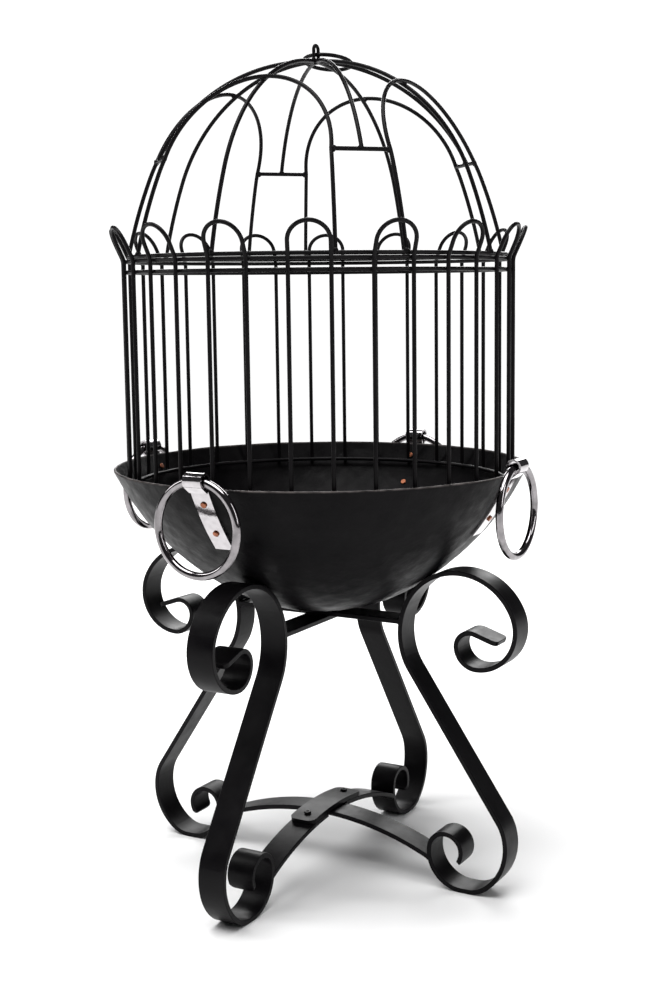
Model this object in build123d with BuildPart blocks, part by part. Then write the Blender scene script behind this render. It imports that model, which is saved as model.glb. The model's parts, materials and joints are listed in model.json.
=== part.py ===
from build123d import *
from math import acos, asin, atan2, cos, degrees, hypot, radians, sin, sqrt
import os

os.makedirs("parts", exist_ok=True)

# Millimetres and degrees. +Z is up; the origin is on the floor, under the middle of the stand.
# Azimuths turn from +X towards +Y; "front" is -Y.

# ---- flat bar of the stand
bar_width = 30
bar_thick = 5
bar_edge = 0.7  # rounding of the bar's long edges
quarter_turns = {"front": 270, "right": 0, "back": 90, "left": 180}

# ---- scroll legs, drawn from the flat of the foot; a bend is (radius, turn), a straight (length,)
foot_radius = 173.6  # axis to the middle of the foot's flat
foot_flat = 8
foot_bends = [(30.6, 34), (56.3, 69.6), (45.6, 20.3)]
leg_straight = 180.5
head_bends = [(56.7, -13.6), (72.7, -48.5), (65.4, -126.4), (42.4, -116.2), (22.6, -83.3), (15.5, -114)]
head_tip = 26
curl_bends = [(36.7, -99), (18.2, -214.6)]
tip_rounding = 6

# ---- cross under the bowl and brace between the feet
cross_height = 281.5  # middle of the long bar of the cross
cross_reach = 99.2  # into the thickness of the legs' waists
brace_height = 60.8  # middle of the arched brace at the axis
brace_bend = 320
brace_reach = 132.9
brace_step = 0.4  # the long brace lies this much under the halves
half_brace_start = 20
plate_half_length = 54
plate_corner = 8
bolt_offset = 38.3
bolt_radius = 2.5
bolt_head_radius = 3.8
bolt_head_height = 2.4
socket_across = 3
nut_gap = 0.05
nut_across = 8
nut_height = 4

# ---- bowl
bowl_rim_radius = 217.5  # to the middle of the wall
bowl_rim_height = 440.6
bowl_depth = 155
bowl_wall = 2.5
bowl_bottom_bend = 200
bowl_bottom_turn = 30.8
bowl_edge = 1  # rounding of the rim

# ---- handles: a riveted strap with a closed eye, and a ring hanging in the eye
handle_turns = {"front": 269, "right": 0.5, "back": 90, "left": 180.5}
strap_width = 21
strap_thick = 2
strap_foot_height = 379
strap_rise = 0.6  # straight stretch over the rim
neck_bend = 4  # the strap sets back under the eye
neck_turn = 65
eye_bend = 7
eye_pinch = 16  # from the middle of the eye down to where its flap would meet the strap
flap_gap = 1.1  # strap thicknesses between the middles of the flap's end and the strap
ring_bend = 45.3
ring_wire = 4
rivet_heights = (426.5, 396.5)
rivet_radius = 2
rivet_hole_gap = 0.05
rivet_head_radius = 3.2
rivet_head_height = 1.7
rivet_head_edge = 0.8
rivet_seat = 0.1  # the inner heads bridge the hollow of the wall

# ---- cage of hairpin wires standing in the bowl
wire = 2.1  # radius of every cage and dome wire
cage_radius = 202.7
hairpin_count = 16
cage_turn = 5.6
cage_foot_height = 419.8
flare_height = 651.7
flare_bend = 18
flare_turn = 24
flare_straight = 11.5
cage_ring_heights = {"lower": 643.6, "upper": 654.4}
foot_ring_height = 422.1

# ---- dome of wires standing on the cage's upper ring
dome_apex = 857
dome_top_bend = 185
dome_top_turn = 68.5
dome_side_bend = 516
dome_side_turn = 9.4
leg_stop = 0.6  # ribs and arches stop this far above the middle of the base ring
arch_half_turn = 35
arch_joint_height = 755
arch_top_radius = 101
rib_start = 1  # the front and back ribs butt against the hoop, which runs over the apex
upper_rib_start = 5.4

# ---- eye on the apex and the ring that hangs in it
top_eye_wire = 1.8
top_eye_bend = 4.5
top_eye_height = 875
hanging_bend = 25
hanging_wire = 2
hanging_height = 864
rest_gap = 0.3

# ---- worked out
foot_start = (foot_radius - foot_flat / 2, bar_thick / 2)
dome_centre = dome_apex - dome_top_bend
shoulder_turn = dome_top_turn + dome_side_turn
dome_base_radius = (dome_top_bend * sin(radians(dome_top_turn))
                    + dome_side_bend * (sin(radians(shoulder_turn)) - sin(radians(dome_top_turn))))
dome_base_height = (dome_centre + dome_top_bend * cos(radians(dome_top_turn))
                    - dome_side_bend * (cos(radians(dome_top_turn)) - cos(radians(shoulder_turn))))
joint_turn = degrees(acos((arch_joint_height - dome_centre) / dome_top_bend))


def save(block, name):
    """Label a finished piece and write its STEP file."""
    block.part.label = name
    export_step(block.part, f"parts/{name}.step")


def radial_plane(azimuth):
    """Upright plane through the axis: x runs outwards, y runs up."""
    turn = radians(azimuth)
    return Plane(origin=(0, 0, 0), x_dir=(cos(turn), sin(turn), 0), z_dir=(sin(turn), -cos(turn), 0))


def across(azimuth):
    """Level direction at right angles to the radius, the width of a bar that runs outwards."""
    return Axis((0, 0, 0), (-sin(radians(azimuth)), cos(radians(azimuth)), 0))


def local_point(point, direction, length):
    """Point at a length from another, both still in the plane's own numbers or both in space."""
    if isinstance(point, tuple):
        return tuple(place + length * part for place, part in zip(point, direction))
    return point + direction * length


def draw_bends(start, heading, steps):
    """Draw straights (length,) and bends (radius, turn) end to end in the current plane."""
    point = start
    direction = (cos(radians(heading)), sin(radians(heading)))
    for step in steps:
        if len(step) == 1:
            stretch = Line(point, local_point(point, direction, step[0]))
        else:
            stretch = JernArc(point, direction, *step)
        point = stretch @ 1
        direction = stretch % 1


def round_long_edges(block, azimuth):
    """Round the edges along both sides of a flat bar that runs at an azimuth."""
    edges = block.faces().filter_by(across(azimuth)).edges()
    fillet(edges.filter_by(lambda edge: edge.length > 1.1 * bar_thick), bar_edge)


# ---------------------------------------------------------------- scroll legs

legs = {}
for side, azimuth in quarter_turns.items():
    with BuildPart() as leg:
        with BuildSketch(radial_plane(azimuth)):
            with BuildLine():
                draw_bends(foot_start, 180, curl_bends)
            trace(line_width=bar_thick)
            with BuildLine():
                draw_bends(foot_start, 0,
                           [(foot_flat,)] + foot_bends + [(leg_straight,)] + head_bends + [(head_tip,)])
            trace(line_width=bar_thick)
        extrude(amount=bar_width / 2, both=True)
        tips = leg.faces().filter_by(GeomType.PLANE).filter_by(
            lambda face: face.area < 1.5 * bar_width * bar_thick)
        fillet(tips.edges().filter_by(
            lambda edge: abs(edge.length - bar_thick) < 0.01), tip_rounding)
        round_long_edges(leg, azimuth)
    save(leg, f"leg_{side}")
    legs[side] = leg.part

# ---------------------------------------------------------------- cross under the bowl

with BuildPart() as top_cross_long:
    with Locations((0, 0, cross_height)):
        Box(2 * cross_reach, bar_width, bar_thick)
    fillet(top_cross_long.edges().filter_by(Axis.X), bar_edge)
    add(legs["right"], mode=Mode.SUBTRACT)
    add(legs["left"], mode=Mode.SUBTRACT)
save(top_cross_long, "top_cross_long")

for side in ("front", "back"):
    with BuildPart() as half_cross:
        with BuildSketch(radial_plane(quarter_turns[side])):
            with Locations((cross_reach / 2, cross_height - bar_thick)):
                Rectangle(cross_reach, bar_thick)
        extrude(amount=bar_width / 2, both=True)
        fillet(half_cross.edges().filter_by(Axis.Y), bar_edge)
        add(legs[side], mode=Mode.SUBTRACT)
    save(half_cross, f"top_cross_{side}")

# ---------------------------------------------------------------- arched brace between the feet


def arch_height(reach, lift=0):
    """Middle of the brace at a distance from the axis, or of a layer lifted off it."""
    return brace_height - brace_bend + sqrt((brace_bend + lift)**2 - reach**2)


def draw_arch(start, end, lift=0):
    """Draw the middle line of the brace, or of a layer lifted off it, between two distances."""
    reaches = (start, (start + end) / 2, end)
    ThreePointArc(*[(reach, arch_height(reach, lift)) for reach in reaches])


def bolt_planes(lift=0):
    """Planes square to the two bolts, at a lift off the brace's middle line."""
    tilt = asin(bolt_offset / brace_bend)
    planes = []
    for side in ("front", "back"):
        outwards = radial_plane(quarter_turns[side])
        reach = (brace_bend + lift) * sin(tilt)
        centre = outwards.from_local_coords((reach, arch_height(reach, lift)))
        leaning = outwards.from_local_coords((sin(tilt), cos(tilt)))
        planes.append(Plane(origin=centre, x_dir=across(quarter_turns[side]).direction, z_dir=leaning))
    return planes


with BuildPart() as brace_long:
    with BuildSketch(radial_plane(0)):
        with BuildLine():
            draw_arch(-brace_reach, brace_reach, lift=-brace_step)
        trace(line_width=bar_thick)
    extrude(amount=bar_width / 2, both=True)
    round_long_edges(brace_long, 0)
    add(legs["right"], mode=Mode.SUBTRACT)
    add(legs["left"], mode=Mode.SUBTRACT)
save(brace_long, "brace_long")

for side in ("front", "back"):
    with BuildPart() as half_brace:
        with BuildSketch(radial_plane(quarter_turns[side])):
            with BuildLine():
                draw_arch(half_brace_start, brace_reach)
            trace(line_width=bar_thick)
        extrude(amount=bar_width / 2, both=True)
        round_long_edges(half_brace, quarter_turns[side])
        with Locations(*bolt_planes()):
            Cylinder(bolt_radius, 4 * bar_thick, mode=Mode.SUBTRACT)
        add(legs[side], mode=Mode.SUBTRACT)
    save(half_brace, f"brace_{side}")

with BuildPart() as tie_plate:
    with BuildSketch(radial_plane(quarter_turns["front"])):
        with BuildLine():
            draw_arch(-plate_half_length, plate_half_length, lift=bar_thick)
        trace(line_width=bar_thick)
    extrude(amount=bar_width / 2, both=True)
    fillet(tie_plate.edges().filter_by(lambda edge: abs(edge.length - bar_thick) < 0.01), plate_corner)
    with Locations(*bolt_planes()):
        Cylinder(bolt_radius, 4 * bar_thick, mode=Mode.SUBTRACT)
save(tie_plate, "tie_plate")

with BuildPart() as tie_bolts:
    for plane in bolt_planes(1.5 * bar_thick):
        with BuildSketch(plane):
            Circle(bolt_radius)
        extrude(amount=-(2 * bar_thick + 1.3 * nut_height))
        with BuildSketch(plane):
            Circle(bolt_head_radius)
        extrude(amount=bolt_head_height)
        with BuildSketch(plane.offset(bolt_head_height)):
            RegularPolygon(socket_across / 2, 6, major_radius=False)
        extrude(amount=-0.6 * bolt_head_height, mode=Mode.SUBTRACT)
    fillet(tie_bolts.edges().filter_by(GeomType.CIRCLE).filter_by(
        lambda edge: abs(edge.radius - bolt_head_radius) < 0.01).group_by(Axis.Z)[-1], 0.8)
save(tie_bolts, "tie_bolts")

with BuildPart() as tie_nuts:
    for plane in bolt_planes(-bar_thick / 2 - nut_gap):
        with BuildSketch(plane):
            RegularPolygon(nut_across / 2, 6, major_radius=False)
            Circle(bolt_radius, mode=Mode.SUBTRACT)
        extrude(amount=-nut_height)
save(tie_nuts, "tie_nuts")

# ---------------------------------------------------------------- bowl

# The middle of the wall is a shallow bottom bend, then a straighter side bend up to the rim.
with BuildLine() as bowl_line:
    bowl_bottom = JernArc((0, bowl_rim_height - bowl_depth), (1, 0), bowl_bottom_bend, bowl_bottom_turn)
    bowl_side = TangentArc(bowl_bottom @ 1, (bowl_rim_radius, bowl_rim_height), tangent=bowl_bottom % 1)

side_centre = bowl_side.edge().arc_center
side_bend = bowl_side.edge().radius


def side_turn(height):
    """Angle below level, about the side bend's centre, of the wall at a height."""
    return degrees(asin((side_centre.Y - height) / side_bend))


def rivet_plane(azimuth, height):
    """Plane on the middle of the bowl's wall, facing squarely out of it."""
    turn = radians(side_turn(height))
    outwards = radial_plane(azimuth)
    centre = outwards.from_local_coords((side_centre.X + side_bend * cos(turn), height))
    return Plane(origin=centre, x_dir=across(azimuth).direction,
                 z_dir=outwards.from_local_coords((cos(turn), -sin(turn))))


rivet_planes = [rivet_plane(azimuth, height) for azimuth in handle_turns.values() for height in rivet_heights]

with BuildPart() as bowl:
    with BuildSketch(Plane.XZ):
        add(bowl_line.line)
        trace(line_width=bowl_wall)
    revolve(axis=Axis.Z)
    fillet(bowl.edges().sort_by(Axis.Z)[-2:], bowl_edge)
    with Locations(*rivet_planes):
        Cylinder(rivet_radius + rivet_hole_gap, 4 * bowl_wall, mode=Mode.SUBTRACT)
save(bowl, "bowl")

# ---------------------------------------------------------------- handles

# In a handle's upright plane: the strap lies on the bowl, rises over the rim, sets back a little,
# bends outwards and down round the eye, and its flap comes back to the strap.
strap_line = side_bend + bowl_wall / 2 + strap_thick / 2
foot_turn = side_turn(strap_foot_height)
rim_turn = side_turn(bowl_rim_height)
strap_lean = radians(90 - rim_turn)
strap_foot = (side_centre.X + strap_line * cos(radians(foot_turn)),
              side_centre.Y - strap_line * sin(radians(foot_turn)))
eye_rise = strap_rise + (neck_bend + eye_bend) * sin(radians(neck_turn))
eye_offset = eye_bend * cos(radians(neck_turn)) - neck_bend * (1 - cos(radians(neck_turn)))
eye_reach = (side_centre.X + strap_line * cos(radians(rim_turn))
             + eye_rise * cos(strap_lean) + eye_offset * sin(strap_lean))
eye_height = (side_centre.Y - strap_line * sin(radians(rim_turn))
              + eye_rise * sin(strap_lean) - eye_offset * cos(strap_lean))
flap_turn = degrees(atan2(eye_offset, eye_pinch) + asin(eye_bend / hypot(eye_offset, eye_pinch)))
flap_length = (sqrt(eye_offset**2 + eye_pinch**2 - eye_bend**2)
               - flap_gap * strap_thick / sin(radians(flap_turn)))

for side, azimuth in handle_turns.items():
    with BuildPart() as handle_strap:
        with BuildSketch(radial_plane(azimuth)):
            with BuildLine():
                draw_bends(strap_foot, 90 - foot_turn,
                           [(strap_line, foot_turn - rim_turn), (strap_rise,), (neck_bend, neck_turn),
                            (eye_bend, -180 - neck_turn - flap_turn), (flap_length,)])
            trace(line_width=strap_thick)
        extrude(amount=strap_width / 2, both=True)
        with Locations(*[rivet_plane(azimuth, height) for height in rivet_heights]):
            Cylinder(rivet_radius + rivet_hole_gap, 4 * bowl_wall, mode=Mode.SUBTRACT)
    save(handle_strap, f"handle_strap_{side}")

    with BuildPart() as handle_ring:
        with BuildSketch(radial_plane(azimuth)):
            with Locations((eye_reach, eye_height)):
                Circle(ring_wire)
        outwards = radial_plane(azimuth)
        revolve(axis=Axis(outwards.from_local_coords((eye_reach, eye_height - ring_bend)),
                          outwards.x_dir))
    save(handle_ring, f"handle_ring_{side}")

with BuildPart() as strap_rivets:
    for plane in rivet_planes:
        outside = bowl_wall / 2 + strap_thick
        inside = -bowl_wall / 2
        with BuildSketch(plane.offset(inside - rivet_seat)):
            Circle(rivet_radius)
        extrude(amount=outside - inside + rivet_seat)
        with BuildSketch(plane.offset(outside)):
            Circle(rivet_head_radius)
        extrude(amount=rivet_head_height)
        with BuildSketch(plane.offset(inside - rivet_seat)):
            Circle(rivet_head_radius)
        extrude(amount=-rivet_head_height)
    fillet(strap_rivets.edges().filter_by(GeomType.CIRCLE).filter_by(
        lambda edge: abs(edge.radius - rivet_head_radius) < 0.01), rivet_head_edge)
save(strap_rivets, "strap_rivets")

# ---------------------------------------------------------------- cage


def sweep_wire(path, radius):
    """Run a round wire along a path in the current block."""
    with BuildSketch(Plane(origin=path @ 0, z_dir=path % 0)) as section:
        Circle(radius)
    sweep(section.sketch, path=path)


def wire_ring(height, middle, radius):
    """Closed level ring of wire in the current block."""
    with BuildSketch(Plane.XZ) as section:
        with Locations((middle, height)):
            Circle(radius)
    revolve(section.sketch, axis=Axis.Z)


half_gap = 180 / (2 * hairpin_count)
side_reach = cage_radius * cos(radians(half_gap))
side_offset = cage_radius * sin(radians(half_gap))
side_plane = Plane(origin=(0, -side_offset, 0), x_dir=(1, 0, 0), z_dir=(0, -1, 0))

# One hairpin across +X: up one side, flared outwards, over the loop and down the other side.
with BuildLine(side_plane) as hairpin_side:
    draw_bends((side_reach, cage_foot_height), 90,
               [(flare_height - cage_foot_height,), (flare_bend, -flare_turn), (flare_straight,)])
loop_start = hairpin_side.line @ 1
loop_top = loop_start + Vector(sin(radians(flare_turn)), 0, cos(radians(flare_turn))) * side_offset
loop_top = Vector(loop_top.X, 0, loop_top.Z)

with BuildPart() as hairpin:
    with BuildLine() as hairpin_path:
        add(hairpin_side.line)
        mirror(about=Plane.XZ)
        ThreePointArc(loop_start, loop_top, (loop_start.X, -loop_start.Y, loop_start.Z))
    sweep_wire(hairpin_path.wire(), wire)

for number in range(hairpin_count):
    with BuildPart() as cage_hairpin:
        add(hairpin.part, rotation=(0, 0, cage_turn + 360 / hairpin_count * number))
    save(cage_hairpin, f"cage_hairpin_{number + 1:02d}")

ring_heights = dict(cage_ring_heights, foot=foot_ring_height)
for place, height in ring_heights.items():
    with BuildPart() as cage_ring:
        wire_ring(height, cage_radius - 2 * wire, wire)
    save(cage_ring, f"cage_{place}_ring")

# ---------------------------------------------------------------- dome

side_steps = (dome_side_bend, degrees(leg_stop / dome_side_bend) - dome_side_turn)


def dome_point(turn):
    """Radius and height of the dome's top bend at an angle from straight up."""
    return (dome_top_bend * sin(radians(turn)), dome_centre + dome_top_bend * cos(radians(turn)))


with BuildPart() as dome_base_ring:
    wire_ring(dome_base_height, dome_base_radius, wire)
save(dome_base_ring, "dome_base_ring")

with BuildPart() as dome_hoop:
    with BuildLine(radial_plane(0)) as hoop_path:
        draw_bends((0, dome_apex), 0, [(dome_top_bend, -dome_top_turn), side_steps])
        mirror(about=Plane.YZ)
    sweep_wire(hoop_path.wire(), wire)
    add(dome_base_ring.part, mode=Mode.SUBTRACT)
save(dome_hoop, "dome_hoop")

rib_start_turn = degrees(asin(rib_start / dome_top_bend))
for side in ("front", "back"):
    with BuildPart() as dome_rib:
        with BuildLine(radial_plane(quarter_turns[side])) as rib_path:
            draw_bends(dome_point(rib_start_turn), -rib_start_turn,
                       [(dome_top_bend, rib_start_turn - dome_top_turn), side_steps])
        sweep_wire(rib_path.wire(), wire)
        add(dome_base_ring.part, mode=Mode.SUBTRACT)
        add(dome_hoop.part, mode=Mode.SUBTRACT)
    save(dome_rib, f"dome_rib_{side}")

# Arches: each leg follows the dome up to the joint, and the top is a round bend that leans in
# and passes over the rib.
rib_turn = degrees(asin(arch_top_radius / dome_top_bend))
arch_top = (arch_top_radius + 2 * wire * sin(radians(rib_turn)),
            dome_point(rib_turn)[1] + 2 * wire * cos(radians(rib_turn)))
joint_radius, joint_height = dome_point(joint_turn)
joint_reach = joint_radius * cos(radians(arch_half_turn))
joint_offset = joint_radius * sin(radians(arch_half_turn))

with BuildLine(radial_plane(arch_half_turn)) as arch_leg:
    draw_bends((joint_radius, joint_height), -joint_turn,
               [(dome_top_bend, joint_turn - dome_top_turn), side_steps])

with BuildPart() as arch:
    with BuildLine() as arch_path:
        add(arch_leg.line)
        mirror(about=Plane.XZ)
        ThreePointArc((joint_reach, joint_offset, joint_height), (arch_top[0], 0, arch_top[1]),
                      (joint_reach, -joint_offset, joint_height))
    sweep_wire(arch_path.wire(), wire)
    add(dome_base_ring.part, mode=Mode.SUBTRACT)

for side, azimuth in quarter_turns.items():
    with BuildPart() as dome_arch:
        add(arch.part, rotation=(0, 0, azimuth))
    save(dome_arch, f"dome_arch_{side}")

bar_half = joint_radius * sin(radians(45 - arch_half_turn))
bar_reach = joint_radius * cos(radians(45 - arch_half_turn))

with BuildPart() as tie_bar:
    with Locations((bar_reach, 0, joint_height)):
        Cylinder(wire, 2 * bar_half, rotation=(90, 0, 0))
    add(arch.part, rotation=(0, 0, 45), mode=Mode.SUBTRACT)
    add(arch.part, rotation=(0, 0, -45), mode=Mode.SUBTRACT)

with BuildPart() as upper_rib:
    with BuildLine(Plane.XZ) as upper_path:
        start_turn = degrees(asin(upper_rib_start / dome_top_bend))
        draw_bends(dome_point(start_turn), -start_turn, [(dome_top_bend, start_turn - joint_turn)])
    sweep_wire(upper_path.wire(), wire)
    add(tie_bar.part, mode=Mode.SUBTRACT)

with BuildPart() as dome_tie_bars:
    with PolarLocations(0, 4, start_angle=45):
        add(tie_bar.part)
save(dome_tie_bars, "dome_tie_bars")

with BuildPart() as dome_upper_ribs:
    with PolarLocations(0, 4, start_angle=45):
        add(upper_rib.part)
save(dome_upper_ribs, "dome_upper_ribs")

# ---------------------------------------------------------------- eye and hanging ring

top_eye_foot = dome_apex + wire
top_eye_leg = top_eye_height - top_eye_wire - top_eye_bend - top_eye_foot

with BuildPart() as top_eye:
    with BuildLine(Plane.YZ) as eye_path:
        draw_bends((-top_eye_bend, top_eye_foot), 90,
                   [(top_eye_leg,), (top_eye_bend, -180), (top_eye_leg,)])
    sweep_wire(eye_path.wire(), top_eye_wire)
save(top_eye, "top_eye")

# The ring passes through the eye and leans back until its far side nearly touches the back rib:
# its far point lies on a circle about the dome's centre.
far_radius = dome_top_bend + wire + hanging_wire + rest_gap
over_centre = hanging_height - dome_centre
hanging_tilt = degrees(asin(((2 * hanging_bend)**2 + over_centre**2 - far_radius**2)
                            / (4 * hanging_bend * over_centre)))
lean = Vector(0, cos(radians(hanging_tilt)), -sin(radians(hanging_tilt)))
ring_axis = Axis(Vector(0, 0, hanging_height) + lean * hanging_bend, Vector(1, 0, 0).cross(lean))

with BuildPart() as hanging_ring:
    with BuildSketch(Plane.YZ):
        with Locations((0, hanging_height)):
            Circle(hanging_wire)
    revolve(axis=ring_axis)
save(hanging_ring, "hanging_ring")
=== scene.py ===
import json
import math

import bmesh
import bpy
from mathutils import Matrix, Vector, noise


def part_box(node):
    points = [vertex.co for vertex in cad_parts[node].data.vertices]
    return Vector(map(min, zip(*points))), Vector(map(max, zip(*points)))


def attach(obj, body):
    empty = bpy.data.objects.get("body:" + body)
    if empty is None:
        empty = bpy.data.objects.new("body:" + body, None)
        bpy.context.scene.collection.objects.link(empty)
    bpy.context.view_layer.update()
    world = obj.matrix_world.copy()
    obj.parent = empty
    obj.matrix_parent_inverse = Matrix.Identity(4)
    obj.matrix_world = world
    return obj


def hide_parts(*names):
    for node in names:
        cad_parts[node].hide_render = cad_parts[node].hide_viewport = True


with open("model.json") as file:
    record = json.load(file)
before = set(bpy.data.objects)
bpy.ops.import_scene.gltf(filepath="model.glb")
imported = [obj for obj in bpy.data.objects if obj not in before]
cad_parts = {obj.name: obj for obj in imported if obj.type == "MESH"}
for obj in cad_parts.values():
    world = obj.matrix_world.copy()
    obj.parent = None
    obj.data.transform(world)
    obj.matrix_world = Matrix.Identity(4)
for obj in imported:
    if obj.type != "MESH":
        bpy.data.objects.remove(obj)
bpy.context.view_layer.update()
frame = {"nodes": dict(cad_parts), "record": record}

MM = 0.001
QUARTERS = (0, 90, 180, 270)
UP = Vector((0, 0, 1))

# The part's own dimensions, repeated in metres.
WIRE = 2.1 * MM
EYE_WIRE = 1.8 * MM
BAR_WIDTH = 30 * MM
CAGE_RADIUS = 202.7 * MM
HAIRPINS = 16
CAGE_TURN = 5.6
DOME_BEND = 185 * MM
ARCH_HALF_TURN = 35
ARCH_TOP_RADIUS = 101 * MM
JOINT_HEIGHT = 755 * MM
BOWL_RIM = (217.5 * MM, 440.6 * MM)
BOWL_DEPTH = 155 * MM
BOWL_WALL = 2.5 * MM
BOWL_BOTTOM_BEND = 200 * MM
BOWL_BOTTOM_TURN = 30.8

# What only the visual model has.
RIM_ROUNDING = 0.8 * MM
RIM_UNEVEN = 0.35 * MM
UNEVEN_BAND = 6 * MM
MARKS_PER_METRE = 62  # hammer marks of the bowl
MARK_DEPTH = 0.42 * MM
WAVE_DEPTH = 0.5 * MM
BEAD_RIPPLE = 2.2 * MM
BEAD_SIDES = 14
BEAD_SWELL = 0.10
BEAD_ROUGHNESS = 0.18
BEAD_SHARE = 0.46  # half length of a bead, as a share of the bar's width
BEAD_RISE = 2.6 * MM
BEAD_SETBACK = 0.8 * MM
LUMP_ROUGHNESS = 0.22
BAR_BEAD = 1.5 * MM  # radii of the welds along bar ends and along the cross
CROSS_BEAD = 1.6 * MM
CAGE_WELD = (1.7 * MM, 3.6 * MM)  # blobs of weld, as (radius, length)
CROSSING_WELD = (2.3 * MM, 6.5 * MM)
BASE_WELD = (2.6 * MM, 6.4 * MM)
ARCH_WELD = (2.7 * MM, 6.6 * MM)
RIB_END_WELD = (2.5 * MM, 7 * MM)
EYE_WELD = (2.5 * MM, 5 * MM)
APEX_WELD = (3.4 * MM, 12 * MM)
WELD_LIFT = 1.6 * MM
BAR_WELD_LIFT = 1.2 * MM
ARCH_WELD_TURN = 0.7
RIB_END = 6 * MM


# ---------------------------------------------------------------- materials


class Surface:
    """A material built round one Principled shader."""

    def __init__(self, name, **constants):
        self.material = bpy.data.materials.new(name)
        self.material.use_nodes = True
        self.tree = self.material.node_tree
        self.shader = self.tree.nodes["Principled BSDF"]
        for socket, value in constants.items():
            self.shader.inputs[socket.replace("_", " ")].default_value = value
        self.place = self.tree.nodes.new("ShaderNodeTexCoord").outputs["Object"]

    def add(self, kind, **settings):
        node = self.tree.nodes.new(kind)
        for name, value in settings.items():
            setattr(node, name, value)
        return node

    def link(self, output, socket):
        self.tree.links.new(output, socket)

    def noise(self, scale, detail):
        """Noise in the object's own metres: a scale of 100 has lumps about 10 mm across."""
        node = self.add("ShaderNodeTexNoise")
        node.inputs["Scale"].default_value = scale
        node.inputs["Detail"].default_value = detail
        self.link(self.place, node.inputs["Vector"])
        return node.outputs["Fac"]

    def between(self, value, low, high, start=0.3, end=0.7):
        """Maps a value from start..end to low..high."""
        node = self.add("ShaderNodeMapRange")
        self.link(value, node.inputs["Value"])
        for socket, number in (("From Min", start), ("From Max", end), ("To Min", low), ("To Max", high)):
            node.inputs[socket].default_value = number
        return node.outputs["Result"]

    def mix(self, share, first, second):
        """Colour from first at share 0 to second at share 1; each is a colour or an output."""
        node = self.add("ShaderNodeMix", data_type="RGBA")
        self.link(share, node.inputs[0])
        for socket, colour in ((node.inputs[6], first), (node.inputs[7], second)):
            if isinstance(colour, tuple):
                socket.default_value = (*colour, 1)
            else:
                self.link(colour, socket)
        return node.outputs[2]

    def colour(self, output):
        self.link(output, self.shader.inputs["Base Color"])

    def roughness(self, output):
        self.link(output, self.shader.inputs["Roughness"])

    def bump(self, *layers):
        """Stacks bumps given as (height output, depth in metres)."""
        normal = None
        for height, depth in layers:
            node = self.add("ShaderNodeBump")
            node.inputs["Distance"].default_value = depth
            self.link(height, node.inputs["Height"])
            if normal:
                self.link(normal, node.inputs["Normal"])
            normal = node.outputs["Normal"]
        self.link(normal, self.shader.inputs["Normal"])


def painted_black(name, dark, light, sheen, grain, grain_depth):
    """Satin black paint: cloudy tone, uneven gloss, fine orange peel and a coarser, deeper grain."""
    paint = Surface(name, Specular_IOR_Level=0.09)
    paint.colour(paint.mix(paint.between(paint.noise(26, 4), 0, 1), dark, light))
    paint.roughness(paint.between(paint.noise(60, 5), *sheen))
    paint.bump((paint.noise(grain, 2), grain_depth),
               (paint.noise(170, 2), 2.5 * grain_depth))
    return paint.material


def bowl_black():
    """Black enamel on beaten steel, with a patchy light grey band along the top of the rim that is partly
    worn metal and partly a painted highlight on the rim's edge.
    """
    enamel = Surface("bowl_enamel_black", Specular_IOR_Level=0.06)
    cloudy = enamel.between(enamel.noise(22, 5), 0, 1)
    tone = enamel.mix(cloudy, (0.0020, 0.0018, 0.0022), (0.0044, 0.0039, 0.0044))
    height = enamel.add("ShaderNodeSeparateXYZ")
    enamel.link(enamel.place, height.inputs[0])
    # A patchy light grey band along the top of the rim: partly wear to bare metal, partly a painted
    # highlight on the rim's edge.
    near_rim = enamel.between(height.outputs["Z"], 0, 1, BOWL_RIM[1] - 1.6 * MM, BOWL_RIM[1] + 0.9 * MM)
    patchy = enamel.between(enamel.noise(90, 6), 0.1, 1.0)
    rim_wear_and_highlight = enamel.add("ShaderNodeMath", operation="MULTIPLY")
    enamel.link(near_rim, rim_wear_and_highlight.inputs[0])
    enamel.link(patchy, rim_wear_and_highlight.inputs[1])
    enamel.colour(enamel.mix(rim_wear_and_highlight.outputs[0], tone, (0.17, 0.15, 0.145)))
    enamel.roughness(enamel.between(enamel.noise(75, 6), 0.33, 0.52))
    enamel.bump((enamel.noise(900, 3), 0.05 * MM), (enamel.noise(210, 4), 0.22 * MM))
    return enamel.material


def polished(name, tone, shade, sheen, dent_depth):
    """Bright metal with faint smears in its gloss and shallow dents."""
    metal = Surface(name, Metallic=1.0)
    metal.colour(metal.mix(metal.between(metal.noise(120, 5), 0, 1), shade, tone))
    metal.roughness(metal.between(metal.noise(210, 5), *sheen))
    metal.bump((metal.noise(85, 2), dent_depth), (metal.noise(1400, 2), 0.02 * MM))
    return metal.material


LOOKS = {
    "stand_paint": painted_black("stand_satin_black", (0.0022, 0.0019, 0.0024), (0.0050, 0.0044, 0.0052),
                                 (0.30, 0.42), 950, 0.035 * MM),
    "wire_paint": painted_black("wire_satin_black", (0.0034, 0.0030, 0.0036), (0.0068, 0.0059, 0.0066),
                                (0.28, 0.40), 1300, 0.03 * MM),
    "bolt_black": painted_black("bolt_black_oxide", (0.004, 0.004, 0.0045), (0.009, 0.0085, 0.009),
                                (0.26, 0.38), 1600, 0.02 * MM),
    "bowl_enamel": bowl_black(),
    "chrome": polished("strap_chrome", (0.56, 0.54, 0.55), (0.44, 0.42, 0.43), (0.05, 0.13), 0.25 * MM),
    "copper": polished("rivet_copper", (0.40, 0.15, 0.08), (0.17, 0.06, 0.035), (0.25, 0.45), 0.30 * MM),
}

RING_LOOK = polished("ring_chrome", (0.34, 0.32, 0.33), (0.22, 0.21, 0.215), (0.05, 0.12), 0.12 * MM)

for subpart in frame["record"]["subparts"]:
    node = frame["nodes"][subpart["node"]]
    is_ring = subpart["node"].startswith("handle_ring")
    node.data.materials.clear()
    node.data.materials.append(RING_LOOK if is_ring else LOOKS[subpart["material_slot"]])


# ---------------------------------------------------------------- mesh helpers


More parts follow.
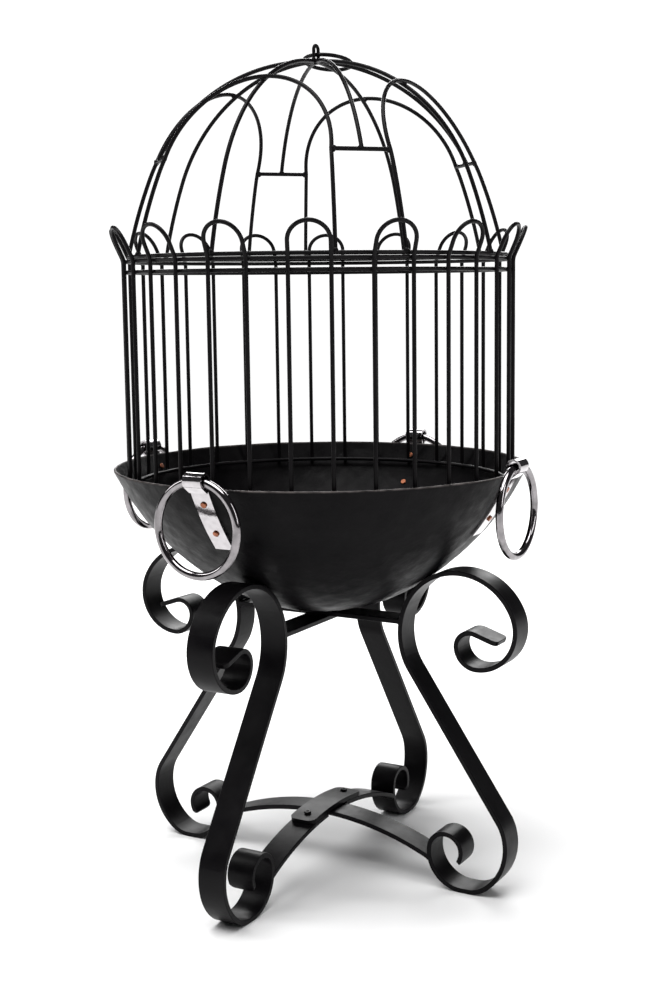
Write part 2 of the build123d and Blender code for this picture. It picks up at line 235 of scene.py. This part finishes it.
def piece(name, bm, body, material_slot, replaced=()):
    """Turns a bmesh into a smooth piece that rides on a body."""
    mesh = bpy.data.meshes.new(name)
    bm.normal_update()
    bm.to_mesh(mesh)
    bm.free()
    for polygon in mesh.polygons:
        polygon.use_smooth = True
    mesh.materials.append(LOOKS[material_slot])
    made = bpy.data.objects.new(name, mesh)
    bpy.context.scene.collection.objects.link(made)
    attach(made, body)
    if replaced:
        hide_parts(*replaced)
    return made


def polar(radius, azimuth, height):
    turn = math.radians(azimuth)
    return Vector((radius * math.cos(turn), radius * math.sin(turn), height))


def join_rings(bm, rings, count):
    """Faces between neighbouring closed rings of as many vertices."""
    for first, second in zip(rings, rings[1:]):
        for number in range(count):
            after = (number + 1) % count
            bm.faces.new((first[number], first[after], second[after], second[number]))


def lump(bm, centre, along, size):
    """A blob of weld metal round a point, of a radius and length, drawn out along a direction."""
    radius, length = size
    made = bmesh.ops.create_icosphere(bm, subdivisions=3, radius=1)["verts"]
    turn = along.to_track_quat("Z", "Y").to_matrix()
    for vert in made:
        rough = 1 + LUMP_ROUGHNESS * noise.noise(vert.co * 1.7 + centre * 900)
        stretch = Vector((radius, radius, length / 2))
        vert.co = centre + turn @ Vector(a * b for a, b in zip(vert.co * rough, stretch))


def bead(bm, start, end, radius):
    """A run of weld along an edge, with the ripples the torch leaves."""
    line = end - start
    direction = line.normalized()
    turn = direction.to_track_quat("Z", "Y").to_matrix()
    steps = max(8, int(line.length / BEAD_RIPPLE * 6))
    rings = []
    for step in range(steps + 1):
        share = step / steps
        along = share * line.length
        cap = min(along, line.length - along) / radius
        size = radius * math.sqrt(max(0, 1 - (1 - min(1, cap)) ** 2))
        size *= 1 + BEAD_SWELL * math.sin(2 * math.pi * along / BEAD_RIPPLE)
        middle = start + line * share
        ring = []
        for side in range(BEAD_SIDES):
            angle = 2 * math.pi * side / BEAD_SIDES
            spoke = turn @ Vector((math.cos(angle), math.sin(angle), 0))
            rough = 1 + BEAD_ROUGHNESS * noise.noise((middle + spoke * radius) * 450)
            ring.append(bm.verts.new(middle + spoke * max(size, 0.05 * radius) * rough))
        rings.append(ring)
    join_rings(bm, rings, BEAD_SIDES)
    bm.faces.new(reversed(rings[0]))
    bm.faces.new(rings[-1])


def end_of(node, direction):
    """Middle of the end that a CAD node turns towards a direction."""
    points = [v.co for v in frame["nodes"][node].data.vertices]
    furthest = max(point.dot(direction) for point in points)
    at_end = [point for point in points if point.dot(direction) > furthest - 1.5 * MM]
    low = Vector(map(min, *at_end))
    high = Vector(map(max, *at_end))
    return (low + high) / 2


# ---------------------------------------------------------------- bowl of beaten steel


def bowl_profile(steps):
    """Middle line of the wall from the bottom out to the rim, as (radius, height, normal)."""
    bottom_turn = math.radians(BOWL_BOTTOM_TURN)
    low = BOWL_RIM[1] - BOWL_DEPTH
    joint = Vector((BOWL_BOTTOM_BEND * math.sin(bottom_turn),
                    low + BOWL_BOTTOM_BEND * (1 - math.cos(bottom_turn))))
    inwards = Vector((-math.sin(bottom_turn), math.cos(bottom_turn)))
    chord = Vector(BOWL_RIM) - joint
    side_bend = chord.length_squared / (2 * chord.dot(inwards))
    side_turn = 2 * math.asin(chord.length / 2 / side_bend)
    lengths = (BOWL_BOTTOM_BEND * bottom_turn, side_bend * side_turn)
    points = []
    for step in range(steps + 1):
        along = step / steps * sum(lengths)
        if along < lengths[0]:
            turn, bend = along / BOWL_BOTTOM_BEND, BOWL_BOTTOM_BEND
            centre = Vector((0, low + BOWL_BOTTOM_BEND))
        else:
            turn = bottom_turn + (along - lengths[0]) / side_bend
            bend, centre = side_bend, joint + inwards * side_bend
        outwards = Vector((math.sin(turn), -math.cos(turn)))
        points.append((centre + outwards * bend, outwards))
    return points


def hammered(place):
    """Depth of the hammer marks at a point of the wall."""
    to_mark = noise.voronoi(place * MARKS_PER_METRE)[0][0]
    wave = noise.noise(place * 17)
    return MARK_DEPTH * (1 - min(1, to_mark * 1.25) ** 2) + WAVE_DEPTH * wave


def make_bowl(steps=110, turns=400):
    profile = bowl_profile(steps)
    half = BOWL_WALL / 2
    outside = [(middle + out * half, out) for middle, out in profile[1:-1]]
    inside = [(middle - out * half, out) for middle, out in profile[1:-1]]
    top, out = profile[-1]
    upwards = Vector((-out.y, out.x))
    rim = []
    for side in (1, -1):
        corner = [top + out * side * (half - RIM_ROUNDING) - upwards * RIM_ROUNDING
                  + (out * side * math.cos(a) + upwards * math.sin(a)) * RIM_ROUNDING
                  for a in (0, math.pi / 6, math.pi / 3, math.pi / 2)]
        rim.append([(point, out) for point in corner])
    section = outside + rim[0] + rim[1][::-1] + inside[::-1]
    bm = bmesh.new()
    rings = []
    for (point, out) in section:
        ring = []
        for number in range(turns):
            turn = 2 * math.pi * number / turns
            spoke = Vector((math.cos(turn), math.sin(turn)))
            base = Vector((spoke.x * point.x, spoke.y * point.x, point.y))
            normal = Vector((spoke.x * out.x, spoke.y * out.x, out.y))
            wall = base.copy()
            wall.z = min(wall.z, BOWL_RIM[1])
            depth = hammered(wall)
            uneven = RIM_UNEVEN * noise.noise(wall * 30) if point.y > BOWL_RIM[1] - UNEVEN_BAND else 0
            ring.append(bm.verts.new(base - normal * depth + Vector((0, 0, uneven))))
        rings.append(ring)
    join_rings(bm, rings, turns)
    for ring, side in ((rings[0], 1), (rings[-1], -1)):
        middle, out = profile[0]
        pole = Vector((0, 0, middle.y - side * half))
        pole.z += hammered(pole)
        centre = bm.verts.new(pole)
        for number in range(turns):
            after = (number + 1) % turns
            corners = (centre, ring[after], ring[number])
            bm.faces.new(corners if side > 0 else corners[::-1])
    bmesh.ops.recalc_face_normals(bm, faces=bm.faces)
    return piece("bowl_beaten", bm, "bowl", "bowl_enamel", replaced=["bowl"])


make_bowl()


# ---------------------------------------------------------------- welds


def stand_welds():
    bm = bmesh.new()
    half = BEAD_SHARE * BAR_WIDTH
    for name, azimuths in (("top_cross_long", (0, 180)), ("brace_long", (0, 180)),
                           ("top_cross_front", (270,)), ("top_cross_back", (90,)),
                           ("brace_front", (270,)), ("brace_back", (90,))):
        for azimuth in azimuths:
            outwards = polar(1, azimuth, 0)
            across = polar(1, azimuth + 90, 0)
            end = end_of(name, outwards)
            for side in (1, -1):
                corner = end + side * BEAD_RISE * UP - outwards * BEAD_SETBACK
                bead(bm, corner - across * half, corner + across * half, BAR_BEAD)
    long_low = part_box("top_cross_long")[0]
    for azimuth in (90, 270):
        corner = polar(BAR_WIDTH / 2, azimuth, long_low.z)
        across = polar(1, azimuth + 90, 0)
        bead(bm, corner - across * half, corner + across * half, CROSS_BEAD)
    piece("stand_welds", bm, "stand", "stand_paint")


def cage_welds():
    bm = bmesh.new()
    half_gap = 180 / (2 * HAIRPINS)
    for number in range(HAIRPINS):
        for side in (-1, 1):
            azimuth = CAGE_TURN + 360 / HAIRPINS * number + side * half_gap
            for ring in ("cage_lower_ring", "cage_upper_ring", "cage_foot_ring"):
                low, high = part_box(ring)
                place = polar(CAGE_RADIUS - WIRE, azimuth, (low.z + high.z) / 2)
                lump(bm, place, UP, CAGE_WELD)
    piece("cage_welds", bm, "cage", "wire_paint")


def dome_welds():
    bm = bmesh.new()
    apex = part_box("dome_hoop")[1].z - WIRE
    centre = apex - DOME_BEND
    base_low, base_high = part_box("dome_base_ring")
    base_radius = base_high.x - WIRE
    foot_height = (base_low.z + base_high.z) / 2 + WELD_LIFT

    def on_dome(radius, lift=0):
        turn = math.asin(radius / DOME_BEND)
        return radius + lift * math.sin(turn), centre + (DOME_BEND + lift) * math.cos(turn)

    joint_radius = math.sqrt(DOME_BEND ** 2 - (JOINT_HEIGHT - centre) ** 2)
    for azimuth in QUARTERS:
        radius, height = on_dome(ARCH_TOP_RADIUS, WIRE)
        lump(bm, polar(radius, azimuth, height), polar(1, azimuth + 90, 0), CROSSING_WELD)
        lump(bm, polar(base_radius, azimuth, foot_height), UP, BASE_WELD)
        diagonal = azimuth + 45
        bar_reach = joint_radius * math.cos(math.radians(45 - ARCH_HALF_TURN))
        bar_middle = polar(bar_reach, diagonal, JOINT_HEIGHT + BAR_WELD_LIFT)
        lump(bm, bar_middle, polar(1, diagonal + 90, 0), BASE_WELD)
        radius, height = on_dome(RIB_END)
        lump(bm, polar(radius, diagonal, height), polar(1, diagonal, 0), RIB_END_WELD)
        for side in (-1, 1):
            foot = azimuth + side * ARCH_HALF_TURN
            lump(bm, polar(base_radius, foot, foot_height), UP, BASE_WELD)
            lump(bm, polar(joint_radius, foot + side * ARCH_WELD_TURN, JOINT_HEIGHT), UP, ARCH_WELD)
    eye_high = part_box("top_eye")[1]
    for side in (-1, 1):
        foot = Vector((0, side * (eye_high.y - EYE_WIRE), apex + WELD_LIFT))
        lump(bm, foot, UP, EYE_WELD)
    lump(bm, Vector((0, 0, apex)), Vector((0, 1, 0)), APEX_WELD)
    piece("dome_welds", bm, "dome", "wire_paint")


stand_welds()
cage_welds()
dome_welds()


# ---------------------------------------------------------------- studio


def studio():
    world = bpy.data.worlds.new("studio")
    bpy.context.scene.world = world
    world.use_nodes = True
    tree = world.node_tree
    soft = tree.nodes["Background"]
    soft.inputs["Color"].default_value = (0.96, 0.95, 1.0, 1)
    soft.inputs["Strength"].default_value = 0.045
    pale = tree.nodes.new("ShaderNodeBackground")
    pale.inputs["Color"].default_value = (1, 1, 1, 1)
    pale.inputs["Strength"].default_value = 1.1
    path = tree.nodes.new("ShaderNodeLightPath")
    mix = tree.nodes.new("ShaderNodeMixShader")
    tree.links.new(path.outputs["Is Camera Ray"], mix.inputs["Fac"])
    tree.links.new(soft.outputs[0], mix.inputs[1])
    tree.links.new(pale.outputs[0], mix.inputs[2])
    tree.links.new(mix.outputs[0], tree.nodes["World Output"].inputs["Surface"])

    bpy.ops.mesh.primitive_plane_add(size=60, location=(0, 0, 0))
    floor = bpy.context.object
    floor.name = "floor"
    paper = Surface("paper_floor", Roughness=0.9, Specular_IOR_Level=0.1)
    paper.colour(paper.mix(paper.between(paper.noise(3, 2), 0, 1), (0.90, 0.90, 0.90), (0.92, 0.92, 0.92)))
    floor.data.materials.append(paper.material)

    def light(kind, name, energy, azimuth, elevation, distance, **settings):
        """A lamp that looks at the middle of the object from an azimuth and elevation."""
        data = bpy.data.lights.new(name, kind)
        data.energy = energy
        for key, value in settings.items():
            setattr(data, key, value)
        lamp = bpy.data.objects.new(name, data)
        bpy.context.scene.collection.objects.link(lamp)
        aim = Vector((0, 0, 0.4))
        away = polar(math.cos(math.radians(elevation)), azimuth, math.sin(math.radians(elevation)))
        lamp.location = aim + away * distance
        lamp.rotation_mode = "QUATERNION"
        lamp.rotation_quaternion = away.to_track_quat("Z", "Y")

    light("SUN", "overhead", 3.6, 250, 78, 3, angle=math.radians(50))
    light("AREA", "left_box", 14, 205, 30, 2.4, shape="RECTANGLE", size=0.5, size_y=1.6)
    light("AREA", "right_box", 12, 350, 25, 2.4, shape="RECTANGLE", size=0.5, size_y=1.6)
    light("AREA", "back_box", 60, 115, 26, 2.8, shape="RECTANGLE", size=2.4, size_y=1.2)


def camera():
    data = bpy.data.cameras.new("camera")
    data.lens = 52.78
    data.sensor_width = 36
    data.shift_x = -0.0353
    data.shift_y = -0.0221
    data.clip_end = 200
    made = bpy.data.objects.new("camera", data)
    bpy.context.scene.collection.objects.link(made)
    made.location = (0.7880, -1.3377, 0.6300)
    yaw, pitch, roll = math.radians(28.645), math.radians(82.46), math.radians(-0.53)
    made.rotation_euler = (Matrix.Rotation(yaw, 3, "Z") @ Matrix.Rotation(pitch, 3, "X")
                           @ Matrix.Rotation(roll, 3, "Z")).to_euler()
    bpy.context.scene.camera = made


studio()
camera()
bpy.context.scene.view_settings.view_transform = "Standard"
